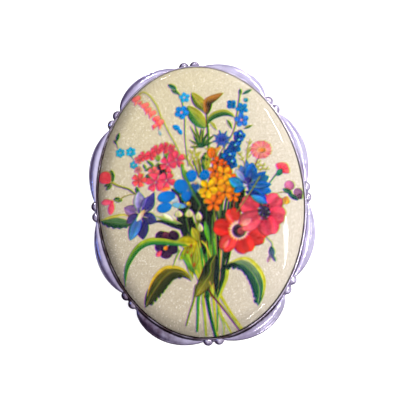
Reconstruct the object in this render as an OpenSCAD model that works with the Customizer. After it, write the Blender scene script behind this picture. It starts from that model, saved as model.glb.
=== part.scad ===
// Oval pill box: a stamped base with three compartments and a hinged lid that carries a domed picture
// in a scalloped frame. Millimetres, +Z up, the length along Y, the hinge on the -X side.
// The origin is at the middle of the flat underside, and the lid is shut.

/* [Box] */
// Width of the body, across its walls
body_w = 38.4; // [38:0.1:38.6]
// Length of the body, across its walls
body_l = 52; // [51.6:0.1:52.2]
// Height of the parting line, where the base wall ends
parting_z = 9; // [8:0.5:11]
// Thickness of the base's wall and floor
pan_wall = 0.65; // [0.5:0.05:0.8]
// Height of the round lower part of the base
bowl_h = 3; // [2:0.25:4]
// Height of the collar that stands out of the base, into the lid
collar_rise = 1.5; // [1:0.1:1.6]

/* [Lid frame] */
// Height of the lid's side wall
band_h = 3.1; // [3:0.1:5]
// Thickness of the scalloped frame at its edge
frame_t = 1.1; // [0.8:0.1:1.6]
// Width of the frame between the lobes, at the beads
notch_w = 42.6; // [42.4:0.1:43]
// Length of the frame between the lobes, at the beads
notch_l = 55.7; // [55.5:0.1:56.2]
// How far each lobe swells out, as a share of the frame
lobe_swell = 0.072; // [0.03:0.002:0.09]
// Angle round the oval from a side's beads to the next beads
corner_angle = 41; // [38:1:45]

/* [Beads] */
// Radius of a bead
bead_r = 1.02; // [0.8:0.02:1.04]
// Distance between the two beads of a pair
bead_pitch = 2.14; // [2.12:0.02:2.6]

/* [Picture] */
// Width of the picture's dome
dome_w = 40; // [39.6:0.1:40.2]
// Length of the picture's dome
dome_l = 53.8; // [53.4:0.1:54]
// Height of the dome above its seat on the frame
dome_h = 3.7; // [3.2:0.1:4.5]
// Height of the dome's round shoulder, were it to close at the top
shoulder_h = 5.2; // [5:0.1:7]
// Thickness of the printed film
film_t = 0.06; // [0.04:0.01:0.1]
// Thickness of the clear coat over the film
coat_t = 0.22; // [0.15:0.01:0.4]
// Width of the bezel, with the seam inside it
bezel_wall = 0.8; // [0.6:0.05:0.9]
// Height of the bezel above the frame
bezel_h = 1.3; // [1:0.1:1.5]

/* [Mirror] */
// Width of the mirror glass
mirror_w = 32.6; // [28:0.1:33]
// Length of the mirror glass
mirror_l = 45.6; // [40:0.1:46]
// Thickness of the mirror glass
mirror_t = 1; // [0.8:0.1:1]

/* [Hinge] */
// Radius of a hinge knuckle
knuckle_r = 1; // [0.9:0.05:1.1]
// Radius of the hinge pin
pin_r = 0.5; // [0.4:0.05:0.55]
// Running clearance round the pin in the lid's knuckles
pin_clear = 0.03; // [0.02:0.01:0.08]
// Length of a knuckle
knuckle_l = 2.2; // [2:0.1:2.6]
// Gap between knuckles
knuckle_gap = 0.15; // [0.1:0.05:0.3]
// Gap between the barrel and the base's wall
barrel_gap = 0.25; // [0.2:0.05:0.4]

/* [Compartments] */
// Thickness of the sheet divider
divider_t = 0.4; // [0.3:0.05:0.6]
// Place of the divider along the box
divider_y = 5; // [-8:0.5:8]

/* [Hidden] */

$fn = 96;
silver = [0.74, 0.72, 0.78];
pale_silver = [0.82, 0.81, 0.86];
cream = [0.87, 0.81, 0.69];

// Heights, from the base up
lid_gap = 0.1;                          // between the base's rim and the lid's, when shut
band_z = parting_z + lid_gap;
frame_z = band_z + band_h;
seat_z = frame_z + frame_t;             // the picture and the bezel stand on this
band_wall = 0.5;
collar_wall = 0.4;
collar_z = 5;                           // the collar and the base's hinge leaf start here
solder = 0.02;                          // thickness of a soldered or glued seam
ledge_w = 35;                           // the opening through the frame, under the picture
ledge_l = 48.8;
plate_t = 0.4;
pad_t = 0.15;
plate_z = frame_z - plate_t - solder;
pad_z = plate_z - pad_t - solder;
mirror_z = pad_z - mirror_t - solder;
lip_t = 0.2;                            // the mirror ring's lip, under the glass
ring_wall = 1.1;
mirror_play = 0.2;

// Hinge, on the -X side
axis_x = -(body_w / 2 + barrel_gap + knuckle_r);
axis_z = parting_z + lid_gap / 2;
knuckle_step = knuckle_l + knuckle_gap;
leaf_t = 0.5;
leaf_half = 2 * knuckle_step + knuckle_l / 2;
leaf_reach = 3;                         // more than a leaf's depth across the wall
arm_h = 0.85;
leaf_drop = knuckle_r + arm_h / 6;      // from the axis to a leaf's edge
leaf_margin = 0.2;                      // from the lid's leaf up to the frame
arm_start = 0.3;                        // from the axis to an arm's nearer side
arm_lap = 0.15;                         // how far an arm laps its leaf, and starts inside its knuckle
pin_end = 0.25;                         // how far the pin stands out at each end

// An oval in quarters, each a true elliptical arc
module oval(w, l) for (i = [0:3]) scale([w / 2, l / 2]) intersection() {
  circle(r = 1);
  rotate(90 * i) square(2);
}
module slab(w, l, z0, z1) translate([0, 0, z0]) linear_extrude(z1 - z0) oval(w, l);
module tube(w, l, wall, z0, z1) difference() {
  slab(w, l, z0, z1);
  slab(w - 2 * wall, l - 2 * wall, z0 - 1, z1 + 1);
}
big = 100;                              // wider than the whole box
module layer(z0, z1) translate([-big / 2, -big / 2, z0]) cube([big, big, z1 - z0]);

// A tub: a round lower part of the full depth c, cut flat at z0, below straight walls from z1 up
module tub(w, l, c, z0, z1, z2) {
  intersection() {
    translate([0, 0, z1]) scale([w / 2, l / 2, c]) sphere(r = 1);
    layer(z0, z1);
  }
  slab(w, l, z1, z2);
}
foot_depth = 2.09 * bowl_h;             // leaves a flat foot about 0.88 of the body's width and length

// Lobed outline. The lobes lie between the beads: on each side a pair, and at each end a pair that
// leans towards the corner beads. The swell is zero in the notches where the beads sit.
function corner_turn(t) = let (q = t % 180) q > 90 ? 180 - q : q;
bead_share = 0.12;                      // part of the arc between two pairs that lies behind the beads
end_lean = 0.66;
function along(t) = let (q = corner_turn(t))
  q < corner_angle ? (corner_angle - q) / corner_angle : (q - corner_angle) / (90 - corner_angle);
function lean(t) = corner_turn(t) < corner_angle ? 1 : end_lean;
function swell(t) = let (u = (along(t) - bead_share) / (1 - 2 * bead_share))
  u <= 0 || u >= 1 ? 0 : pow(sin(180 * pow(u, lean(t))), 0.85);
outline_step = 2;
module lobed(inset = 0) polygon([for (t = [0:outline_step:360 - outline_step])
  let (r = 1 + lobe_swell * swell(t))
  [(notch_w / 2 * r - inset) * cos(t), (notch_l / 2 * r - inset) * sin(t)]]);

bead_sink = 0.35;                       // height of a bead's middle above the frame
rim_step = 0.3;                         // share of the frame's thickness that its edge steps down
rim_inset = 0.55;                       // how far in from the edge that step is
function pair_angle(i) = 45 * i - (45 - corner_angle) * sin(90 * i);
// Places the children at each bead, on the bezel's outer edge, with X pointing straight out of it
module at_beads() for (i = [0:7], s = [-1, 1]) {
  rx = dome_w / 2 + bezel_wall;
  ry = dome_l / 2 + bezel_wall;
  middle = pair_angle(i);
  t = middle + s * bead_pitch / 2 / norm([rx * sin(middle), ry * cos(middle)]) * 180 / PI;
  translate([rx * cos(t), ry * sin(t), seat_z]) rotate(atan2(rx * sin(t), ry * cos(t))) children();
}

// Domed picture, grown by g: upright edge, round shoulder and flat crown
edge_x = 0.5;                           // how far the round shoulder, run down to the seat, would overhang
edge_y = 0.6;
module dome(g) intersection() {
  slab(dome_w + 2 * g, dome_l + 2 * g, seat_z, seat_z + dome_h + 1);
  translate([0, 0, seat_z]) scale([dome_w / 2 + g + edge_x, dome_l / 2 + g + edge_y, shoulder_h])
    sphere(r = 1);
  layer(seat_z - 1, seat_z + dome_h + g);
}

module barrel(y, r, l) translate([axis_x, y - l / 2, axis_z]) rotate([-90, 0, 0]) cylinder(r = r, h = l);

module base_pan() color(silver) difference() {
  tub(body_w, body_l, foot_depth, 0, bowl_h, parting_z);
  tub(body_w - 2 * pan_wall, body_l - 2 * pan_wall, foot_depth - pan_wall, pan_wall, bowl_h, parting_z + 1);
}

module base_collar() color(pale_silver)
  tube(body_w - 2 * pan_wall - 2 * solder, body_l - 2 * pan_wall - 2 * solder, collar_wall,
    collar_z, parting_z + collar_rise);

// Sheet divider for three compartments: one across the box, and a lengthwise leaf in the larger part
divider_play = 0.1;                     // from the divider to the collar
divider_drop = 0.4;                     // from the base's rim down to the divider
divider_inset = 2 * (pan_wall + collar_wall + divider_play);
module pill_divider() color(pale_silver) intersection() {
  union() {
    translate([-body_w / 2, divider_y, 0]) cube([body_w, divider_t, parting_z]);
    translate([-divider_t / 2, -body_l / 2, 0])
      cube([divider_t, body_l / 2 + divider_y + divider_t / 2, parting_z]);
  }
  tub(body_w - divider_inset, body_l - divider_inset, foot_depth - 1.5 * pan_wall,
    pan_wall + solder, bowl_h, parting_z - divider_drop);
}

// Hinge leaf: a curved plate on the wall from z0 to z1, with arms from a0 to a1 out to its knuckles
module hinge_leaf(ys, bore, z0, z1, a0, a1) difference() {
  union() {
    intersection() {
      slab(body_w + 2 * leaf_t, body_l + 2 * leaf_t, z0, z1);
      translate([-body_w / 2 - leaf_reach, -leaf_half, z0]) cube([2 * leaf_reach, 2 * leaf_half, z1 - z0]);
    }
    for (y = ys) {
      barrel(y, knuckle_r, knuckle_l);
      translate([axis_x + arm_lap, y - knuckle_l / 2, a0]) cube([leaf_reach, knuckle_l, a1 - a0]);
    }
  }
  slab(body_w + 2 * solder, body_l + 2 * solder, 0, frame_z + 1);
  barrel(0, bore, 4 * leaf_half);
}
module base_hinge() color(silver)
  hinge_leaf([-2 * knuckle_step, 0, 2 * knuckle_step], pin_r, collar_z, axis_z - leaf_drop,
    axis_z - leaf_drop - arm_lap, axis_z - arm_start);
module lid_hinge() color(silver)
  hinge_leaf([-knuckle_step, knuckle_step], pin_r + pin_clear, axis_z + leaf_drop, frame_z - leaf_margin,
    axis_z + arm_start, axis_z + leaf_drop + arm_lap);
module hinge_pin() color(pale_silver) barrel(0, pin_r, 2 * (leaf_half + pin_end));

module lid_band() color(silver) tube(body_w, body_l, band_wall, band_z, frame_z);

module lid_frame() color(silver) difference() {
  union() {
    translate([0, 0, frame_z]) linear_extrude(frame_t * (1 - rim_step)) lobed();
    translate([0, 0, frame_z]) linear_extrude(frame_t) lobed(rim_inset);
  }
  slab(ledge_w, ledge_l, frame_z - 1, seat_z + 1);
}

// Half beads: flat against the bezel and where they sit on the frame
module edge_beads() color(pale_silver) at_beads() intersection() {
  translate([0, 0, bead_sink]) sphere(r = bead_r);
  translate([solder, -2 * bead_r, solder]) cube(4 * bead_r);
}

module bezel_ring() color(pale_silver)
  tube(dome_w + 2 * bezel_wall, dome_l + 2 * bezel_wall, bezel_wall - coat_t - film_t - solder,
    seat_z + solder, seat_z + bezel_h);

backing_play = 0.1;                     // from the card to the frame's opening, all round
module plaque_backing() color("tan")
  slab(ledge_w - 2 * backing_play, ledge_l - 2 * backing_play, frame_z + solder, seat_z - solder);

module picture_dome() color(cream) dome(0);

module floral_print() color([0.85, 0.45, 0.42]) difference() {
  dome(film_t);
  dome(0);
}

module clear_coat() color([0.95, 0.96, 0.98, 0.35]) difference() {
  dome(film_t + coat_t);
  dome(film_t);
}

module lid_plate() color(silver)
  slab(body_w - 2 * band_wall - 2 * solder, body_l - 2 * band_wall - 2 * solder, plate_z, plate_z + plate_t);

lip_lap = 0.5;                          // how far the ring's lip laps the mirror; the pad is that much smaller
module mirror_pad() color("dimgray")
  slab(mirror_w - 2 * lip_lap, mirror_l - 2 * lip_lap, pad_z, pad_z + pad_t);

module mirror_glass() color("lightblue") slab(mirror_w, mirror_l, mirror_z, mirror_z + mirror_t);

module mirror_ring() color(pale_silver) difference() {
  slab(mirror_w + 2 * ring_wall, mirror_l + 2 * ring_wall, mirror_z - lip_t - solder, plate_z - solder);
  slab(mirror_w + mirror_play, mirror_l + mirror_play, mirror_z - solder, plate_z + 1);
  slab(mirror_w - 2 * lip_lap, mirror_l - 2 * lip_lap, mirror_z - 2, plate_z);
}

base_pan();
base_collar();
pill_divider();
base_hinge();
hinge_pin();
lid_band();
lid_frame();
edge_beads();
bezel_ring();
plaque_backing();
picture_dome();
floral_print();
clear_coat();
lid_hinge();
lid_plate();
mirror_pad();
mirror_glass();
mirror_ring();
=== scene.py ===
"""Oval metal pill box: scalloped silver lid frame, beads, bezel and a domed picture of a bouquet.

Shapes are worked out in millimetres, in the part's own frame, and MM turns them into metres.
"""
import math

import bpy
import numpy as np
from mathutils import Matrix, Vector


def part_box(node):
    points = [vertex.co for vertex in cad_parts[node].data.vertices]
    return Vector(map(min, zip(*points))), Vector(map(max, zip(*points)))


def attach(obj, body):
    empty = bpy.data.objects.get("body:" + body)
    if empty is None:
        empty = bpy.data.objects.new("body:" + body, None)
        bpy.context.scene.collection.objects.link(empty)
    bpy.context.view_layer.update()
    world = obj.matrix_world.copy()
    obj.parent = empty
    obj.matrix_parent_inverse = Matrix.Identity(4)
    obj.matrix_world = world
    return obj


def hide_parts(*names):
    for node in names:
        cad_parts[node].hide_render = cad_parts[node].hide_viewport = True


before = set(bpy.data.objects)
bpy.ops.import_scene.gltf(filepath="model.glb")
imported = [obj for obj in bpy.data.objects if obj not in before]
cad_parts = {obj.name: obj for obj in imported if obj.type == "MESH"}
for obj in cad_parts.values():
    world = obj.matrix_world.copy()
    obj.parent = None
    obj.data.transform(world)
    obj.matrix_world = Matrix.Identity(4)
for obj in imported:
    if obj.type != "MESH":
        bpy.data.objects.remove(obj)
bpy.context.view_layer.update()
MM = 0.001


def span(node):
    """Half width, half length, lowest and highest place of a CAD node, in millimetres."""
    low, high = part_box(node)
    return high.x / MM, high.y / MM, low.z / MM, high.z / MM


# ---------------------------------------------------------------- places, from the frame
COAT_X, COAT_Y, SEAT_Z, CROWN_Z = span("clear_coat")
BEZEL_X, BEZEL_Y, _, BEZEL_Z = span("bezel_ring")
LEDGE_X, LEDGE_Y = span("plaque_backing")[:2]
FRAME_Z = span("lid_frame")[2]
NOTCH_X, NOTCH_Y = 21.29, 27.84

# Thickness of the clear coat at its top and side, of the film, and the gap round the picture
COAT_T = 0.22
COAT_SIDE = 0.06
FILM_T = 0.06
SEAM = 0.03

# The picture's rim and dome, above the seat that it lies on
RIM_X = BEZEL_X - 0.52
RIM_Y = BEZEL_Y - 0.4
RIM_H = 1.5
CROWN_H = CROWN_Z - SEAT_Z
SHOULDER = 2.3

# Half balls against the bezel, in pairs
BEAD_R = 1.02
BEAD_PITCH = 2.14
BEAD_SINK = 0.35

# Lobed outline of the frame: the swell is zero in the notches where the beads sit
LOBE_SWELL = 0.072
CORNER_ANGLE = 41.0
BEAD_SHARE = 0.12
END_LEAN = 0.66


def smooth_step(x):
    x = np.clip(x, 0, 1)
    return x * x * (3 - 2 * x)


def oval(half_x, half_y, t):
    """Places on an oval at the angles t, in radians."""
    return np.stack([half_x * np.cos(t), half_y * np.sin(t)], 1)


def swell(t):
    """Share of the lobes' swell at each angle t, in degrees."""
    q = np.mod(t, 180)
    q = np.where(q > 90, 180 - q, q)
    side = q < CORNER_ANGLE
    along = np.where(side, (CORNER_ANGLE - q) / CORNER_ANGLE, (q - CORNER_ANGLE) / (90 - CORNER_ANGLE))
    u = np.clip((along - BEAD_SHARE) / (1 - 2 * BEAD_SHARE), 0, 1)
    return np.sin(np.pi * u ** np.where(side, 1, END_LEAN)).clip(0, 1) ** 0.85


def crown(rho, rim_h, top_h):
    """Height of the domed picture above its seat, at the share rho of its oval."""
    return rim_h + (top_h - rim_h) * np.clip(1 - rho ** 3, 0, 1) ** (1 / SHOULDER)


# ---------------------------------------------------------------- camera
AIM = Vector((-0.00018, 0.00022, 0.0145))
TILT = math.radians(12.0)
TURN = math.radians(5.0)
SIDE = math.radians(2.0)
DISTANCE = 0.4386


def look(place, aim, up):
    """A camera or light's matrix, looking along its own -Z at the aim."""
    back = (place - aim).normalized()
    right = up.cross(back).normalized()
    return Matrix.Translation(place) @ Matrix((right, back.cross(right), back)).transposed().to_4x4()


eye = AIM + DISTANCE * Vector((math.sin(SIDE), -math.sin(TILT), math.cos(TILT))).normalized()
camera = bpy.data.objects.new("camera", bpy.data.cameras.new("camera"))
camera.data.lens = 200
camera.data.sensor_width = 36
camera.matrix_world = look(eye, AIM, Vector((math.sin(TURN), math.cos(TURN), 0)))
bpy.context.scene.collection.objects.link(camera)
bpy.context.scene.camera = camera


# ---------------------------------------------------------------- mesh helpers
def piece(name, points, faces, body, replaced, looks, smooth=True):
    """A new mesh piece in millimetres, riding on a body, in place of a CAD node."""
    mesh = bpy.data.meshes.new(name)
    mesh.from_pydata((np.asarray(points, float) * MM).tolist(), [], [list(map(int, f)) for f in faces])
    mesh.validate()
    mesh.polygons.foreach_set("use_smooth", [smooth] * len(mesh.polygons))
    mesh.update()
    made = bpy.data.objects.new(name, mesh)
    bpy.context.scene.collection.objects.link(made)
    mesh.materials.append(looks)
    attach(made, body)
    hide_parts(*replaced)
    return made


def loop_faces(rows, columns, closed_rows=True):
    """Quads of a sheet of rows, each a closed loop of columns."""
    faces = []
    for i in range(rows if closed_rows else rows - 1):
        k = (i + 1) % rows
        for j in range(columns):
            n = (j + 1) % columns
            faces.append((i * columns + j, i * columns + n, k * columns + n, k * columns + j))
    return faces


def paint_points(made, name, values):
    """A colour for each vertex, linear red, green, blue and a share."""
    layer = made.data.color_attributes.new(name, "FLOAT_COLOR", "POINT")
    layer.data.foreach_set("color", np.asarray(values, np.float32).ravel())


def paint_tarnish_and_shade(made, tarnish_and_shade):
    """How dark the metal is at each vertex, as a grey: tarnish, and painted shade where the caller paints it
    by place.
    """
    paint_points(made, "tarnish_and_shade", np.stack([tarnish_and_shade, tarnish_and_shade, tarnish_and_shade, np.ones_like(tarnish_and_shade)], 1))


# ---------------------------------------------------------------- printed picture
PAPER_TOP = np.array((216, 205, 172.0))
PAPER_LOW = np.array((206, 194, 171.0))
# Paler tone that paints light onto the right of the picture
PAPER_LIT_RIGHT = np.array((228, 219, 207.0))
CELL = 0.06
MOTTLE = 0.16


class Sheet:
    """Ink on a fine grid in millimetres, laid from the back of the picture to the front."""

    def __init__(self, half_x, half_y):
        self.x0, self.y0 = -half_x, -half_y
        self.columns = int(2 * half_x / CELL) + 2
        self.rows = int(2 * half_y / CELL) + 2
        self.ink = np.zeros((self.rows, self.columns, 3))
        self.cover = np.zeros((self.rows, self.columns))
        self.mottle = cloud(self.rows, self.columns, 9, 3) * 0.6 + cloud(self.rows, self.columns, 3, 4) * 0.4

    def window(self, x, y, reach):
        """The part of the grid within reach of x, y, and where its samples lie from there."""
        i0 = max(0, int((x - reach - self.x0) / CELL))
        i1 = min(self.columns, int((x + reach - self.x0) / CELL) + 2)
        j0 = max(0, int((y - reach - self.y0) / CELL))
        j1 = min(self.rows, int((y + reach - self.y0) / CELL) + 2)
        gx = self.x0 + CELL * np.arange(i0, max(i0, i1)) - x
        gy = self.y0 + CELL * np.arange(j0, max(j0, j1)) - y
        return (slice(j0, max(j0, j1)), slice(i0, max(i0, i1))), gx[None, :], gy[:, None]

    def lay(self, place, mask, colour):
        """Lays a colour where the mask is 1, a little mottled."""
        tone = 1 + MOTTLE * (2 * self.mottle[place][..., None] - 1)
        m = mask[..., None]
        self.ink[place] = self.ink[place] * (1 - m) + np.clip(colour * tone, 0, 255) * m
        self.cover[place] += mask * (1 - self.cover[place])


def cloud(rows, columns, size, seed):
    """Smooth random values from 0 to 1, with blots about size samples wide."""
    rng = np.random.RandomState(seed)
    coarse = rng.rand(rows // size + 3, columns // size + 3)
    y = np.arange(rows) / size
    x = np.arange(columns) / size
    j, i = y.astype(int), x.astype(int)
    fy, fx = smooth_step(y - j)[:, None], smooth_step(x - i)[None, :]
    low = coarse[j][:, i] * (1 - fx) + coarse[j][:, i + 1] * fx
    high = coarse[j + 1][:, i] * (1 - fx) + coarse[j + 1][:, i + 1] * fx
    return low * (1 - fy) + high * fy


sheet = Sheet(COAT_X + 0.4, COAT_Y + 0.4)
EDGE = 0.12

# Inks that several plants share, as red, green and blue from 0 to 255
NIGHT = (10, 18, 16)
DEEP = (30, 62, 34)
GREEN = (62, 112, 48)
LEAF = (104, 142, 52)
LIME = (168, 182, 66)
OLIVE = (122, 112, 48)
BLUSH = (250, 170, 176)
CREAM = (238, 228, 188)


# How much a petal's veins darken it, how much one side of it is lit, and how wide its drawn edge is
VEIN_SHADE = 0.2
SIDE_LIGHT = 0.16
EDGE_LINE = 0.2


def tint(colour):
    return np.array(colour, float)


def petal(x, y, length, width, turn, base, tip, widest=0.62, edge=0.3, veins=0, notch=0.0, blunt=0.62):
    """A petal or leaflet from its base at x, y, pointing turn degrees round from +X."""
    place, gx, gy = sheet.window(x, y, length + width)
    c, s = math.cos(math.radians(turn)), math.sin(math.radians(turn))
    u = (gx * c + gy * s) / length
    v = gy * c - gx * s
    inside = np.clip(u, 0, 1)
    fat = math.log(0.5) / math.log(widest)
    half = width / 2 * np.sin(np.pi * inside ** fat).clip(0, 1) ** blunt
    depth = half - np.abs(v)
    depth = np.minimum(depth, (1 - notch * np.exp(-(v / (0.22 * width)) ** 2) - u) * length)
    depth = np.where(u < 0, -1, depth)
    shade = tint(base) + (tint(tip) - tint(base)) * smooth_step(inside)[..., None]
    across = v / np.maximum(half, 0.05)
    rib = 1 - VEIN_SHADE * (0.5 + 0.5 * np.cos(across * math.pi * veins)) if veins else 1 + 0 * v
    lift = 1 + SIDE_LIGHT * np.clip(across, -1, 1)
    line = 1 - edge * np.clip(1 - depth / EDGE_LINE, 0, 1)
    sheet.lay(place, np.clip(depth / EDGE + 0.5, 0, 1), shade * (rib * lift * line)[..., None])


def dot(x, y, radius, colour, edge=0.35, light=0.22, flat=1.0, turn=0.0):
    """A round or oval spot, lighter at its upper left."""
    place, gx, gy = sheet.window(x, y, radius + 0.2)
    c, s = math.cos(math.radians(turn)), math.sin(math.radians(turn))
    u, v = (gx * c + gy * s), (gy * c - gx * s) / flat
    away = np.sqrt(u * u + v * v)
    lit = 1 + light * (gy - gx) / (1.4 * radius)
    line = 1 - edge * np.clip((away - radius + 0.25) / 0.25, 0, 1)
    sheet.lay(place, np.clip((radius - away) / EDGE + 0.5, 0, 1), tint(colour) * (lit * line)[..., None])


def spline(points, step=0.1):
    """Places and directions at even steps along a smooth curve through the points."""
    p = np.array(points, float)
    p = np.vstack([2 * p[0] - p[1], p, 2 * p[-1] - p[-2]])
    parts = []
    for i in range(1, len(p) - 2):
        n = max(2, int(np.linalg.norm(p[i + 1] - p[i]) / step))
        t = np.arange(n)[:, None] / n
        parts.append(0.5 * (2 * p[i] + (p[i + 1] - p[i - 1]) * t
                            + (2 * p[i - 1] - 5 * p[i] + 4 * p[i + 1] - p[i + 2]) * t ** 2
                            + (3 * p[i] - p[i - 1] - 3 * p[i + 1] + p[i + 2]) * t ** 3))
    path = np.vstack(parts + [p[-2:-1]])
    way = np.gradient(path, axis=0)
    return path, way / np.maximum(np.linalg.norm(way, axis=1, keepdims=True), 1e-9)


def blade(points, width, left, right, widest=0.5, saw=0.0, rib=None, edge=0.45, tip=None):
    """A leaf along a curve, coloured by side: left and right of the way that it grows.

    A saw above zero gives its left side teeth of that length, and one below zero its right side.
    """
    path, way = spline(points)
    count = len(path)
    fat = math.log(0.5) / math.log(widest)
    for i in range(count):
        t = i / (count - 1)
        half = width / 2 * math.sin(math.pi * min(1, max(0, t)) ** fat) ** 0.75
        half = max(half, 0.07)
        if saw and i % 11 == 0 and 0.12 < t < 0.94:
            ahead = math.degrees(math.atan2(way[i][1], way[i][0]))
            turn = math.copysign(1, saw)
            ink = left if saw > 0 else right
            root = path[i] + 0.6 * half * turn * np.array((-way[i][1], way[i][0]))
            petal(*root, 0.5 * half + abs(saw), 1, ahead + 46 * turn, ink, ink, widest=0.4, edge=0.2)
        place, gx, gy = sheet.window(path[i][0], path[i][1], half + 0.2)
        n = gy * way[i][0] - gx * way[i][1]
        side = smooth_step(n / max(0.25, half) * 0.5 + 0.5)[..., None]
        shade = tint(right) * (1 - side) + tint(left) * side
        if tip is not None:
            shade = shade + (tint(tip) - shade) * smooth_step((t - 0.45) / 0.55)
        if rib is not None:
            ribbed = np.exp(-(n / 0.11) ** 2)[..., None] * min(1, half / 0.4)
            shade = shade * (1 - ribbed) + tint(rib) * ribbed
        veins = 1 - 0.14 * (0.5 + 0.5 * math.cos(i * 0.1 / 0.42 * 2 * math.pi)) * min(1, half / 0.5)
        line = 1 - edge * np.clip(1 - (half - np.abs(n)) / 0.16, 0, 1)
        away = np.sqrt(gx * gx + gy * gy)
        sheet.lay(place, np.clip((half - away) / EDGE + 0.5, 0, 1), shade * (veins * line)[..., None])


def stem(points, width, colour, end=None, shadow=0.4):
    """A stalk that tapers a little, lit on its left side."""
    path, way = spline(points)
    for i in range(len(path)):
        t = i / (len(path) - 1)
        half = width / 2 * (1 - 0.35 * t)
        place, gx, gy = sheet.window(path[i][0], path[i][1], half + 0.2)
        n = gy * way[i][0] - gx * way[i][1]
        shade = tint(colour) if end is None else tint(colour) + (tint(end) - tint(colour)) * t
        lit = 1 - shadow * np.clip(0.5 - n / max(width, 0.2), 0, 1)
        away = np.sqrt(gx * gx + gy * gy)
        sheet.lay(place, np.clip((half - away) / EDGE + 0.5, 0, 1), shade * lit[..., None])


def flower(x, y, radius, count, base, tip, eye=None, eye_r=0.25, turn=0.0, fill=1.0, **how):
    """Petals round an eye."""
    for k in range(count):
        way = turn + 360 / count * k
        petal(x, y, radius, fill * 2.9 * radius / count, way, base, tip, **how)
    if eye is not None:
        dot(x, y, eye_r, eye)


def star(x, y, radius, count, colour, turn=0.0):
    """Thin rays round a place."""
    for k in range(count):
        petal(x, y, radius, 0.55, turn + 360 / count * k, colour, colour, widest=0.35, edge=0.2)


def paint_stems():
    """The dense stalks behind the flowers, the waist where they cross, and their cut ends."""
    rng = np.random.RandomState(11)
    inks = [NIGHT, DEEP, DEEP, (34, 66, 38), GREEN, (30, 36, 20)]
    for k in range(64):
        top_x = -5.2 + 11.6 * rng.rand()
        top_y = 3.2 - 12.5 * rng.rand()
        waist = 0.6 + 2.2 * (rng.rand() - 0.5) + 0.1 * top_x
        bow = 0.5 * (top_x + waist) + 0.6 * (rng.rand() - 0.5)
        stem([(waist, -18.4), (bow, -10 + 0.35 * top_y), (top_x, top_y)], 0.34 + 0.4 * rng.rand(),
             inks[k % len(inks)])
    for x, y, long, wide, way in (
            (-0.6, -3.2, 6, 3, 100), (1.2, -6, 7.5, 4.2, 96), (-2.2, -7.5, 6.5, 3.2, 108),
            (2.2, -10.5, 6, 2.8, 92), (0.6, -12.5, 6, 2.6, 95), (0.8, -17.5, 6, 2.4, 84)):
        petal(x, y, long, wide, way, (8, 12, 10), (20, 36, 24), widest=0.5, edge=0.1)
    for k in range(36):
        top_x = -3.9 + 8.4 * rng.rand()
        top_y = -1.5 - 8 * rng.rand()
        waist = 0.5 + 2.4 * (rng.rand() - 0.5) + 0.08 * top_x
        stem([(waist, -18.8), (0.6 * top_x + 0.4 * waist, -12.4), (top_x, top_y)], 0.24 + 0.2 * rng.rand(),
             [(40, 140, 50), LEAF, NIGHT, (190, 190, 40), LIME, NIGHT][k % 6])
    for k in range(34):
        top_x = -3.6 + 5 * rng.rand()
        top_y = -6 - 7 * rng.rand()
        waist = 0.2 + 2.2 * (rng.rand() - 0.5) + 0.08 * top_x
        stem([(waist, -19.2), (0.55 * top_x + 0.45 * waist, -14.5), (top_x, top_y)],
             0.24 + 0.14 * rng.rand(), [(130, 200, 40), (150, 190, 30), (246, 226, 50), (206, 200, 30),
             NIGHT, (40, 150, 50)][k % 6], shadow=0.25)
    ends = (((-2.4, -16.8), (-3.1, -19.6), (-4, -21.8), (-5, -24.3), 0.42, (120, 130, 40)),
            ((-1.4, -17), (-2.2, -19.6), (-2.6, -22.8), (-3, -25.6), 0.62, (60, 146, 46)),
            ((-0.8, -17), (-1.3, -19.7), (-1.3, -22.9), (-1.4, -26.6), 0.62, (184, 198, 60)),
            ((0.7, -17), (0.7, -19.6), (0.7, -23), (0.8, -26.8), 0.62, (206, 208, 56)),
            ((0.2, -16), (-0.4, -18.9), (-0.1, -23), (0.5, -26.9), 0.78, (14, 84, 44)),
            ((1.6, -18), (1.4, -21.4), (1.2, -23.7), (0.9, -25.9), 0.36, (80, 160, 50)),
            ((1.4, -19), (1.7, -22.8), (2.2, -24.9), (2, -26.9), 0.4, (190, 210, 90)),
            ((1.6, -20), (1.8, -22.6), (2.8, -24.9), (3.5, -26.6), 0.48, (200, 212, 60)),
            ((1, -16.6), (2.1, -19.2), (3.6, -22.4), (5.7, -26), 0.66, (204, 200, 50)),
            ((-0.4, -16.6), (0.5, -18.7), (2.1, -21.1), (5.2, -26), 0.36, (110, 24, 44)),
            ((4, -14.2), (3.6, -16), (2.9, -17.5), (1.8, -19.6), 0.6, (200, 206, 56)),
            ((3.4, -13.6), (2.9, -15.4), (2.4, -17.4), (1.6, -19.4), 0.36, (20, 70, 44)))
    for a, b, c, d, width, ink in ends:
        stem([a, b, c, d], width, ink, shadow=0.3)
    for a, b, c, ink in (
            ((-0.4, -8.2), (0.4, -9.4), (1, -11.4), (240, 220, 60)),
            ((-1.4, -8.4), (-1.2, -11.6), (-1.3, -15), (200, 210, 60)),
            ((2, -8), (2.1, -12), (1.7, -16.4), (120, 190, 50)),
            ((3.2, -10.4), (2.9, -12.4), (2.3, -16), (236, 180, 120)),
            ((-0.8, -9.6), (-0.7, -12), (-0.6, -13.6), (60, 160, 60))):
        stem([a, b, c], 0.36, ink, shadow=0.25)
    blade([(0.6, -4.2), (0.8, -6.4), (1.2, -9)], 1.1, (50, 140, 50), (120, 200, 40))
    blade([(1.9, -11.2), (0.9, -13.3), (0.2, -15.3), (-1.1, -17.1), (-2.6, -19)], 2.9, (84, 96, 30),
          (16, 26, 18), rib=(160, 160, 50), edge=0.6, tip=(150, 140, 36))
    blade([(2.2, -11), (2.1, -13.5), (1.7, -16), (1.5, -19)], 1, (12, 22, 30), (16, 40, 36), edge=0.2)
    stem([(0.3, -16.4), (0.7, -17.5)], 0.34, (234, 184, 80))


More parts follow.
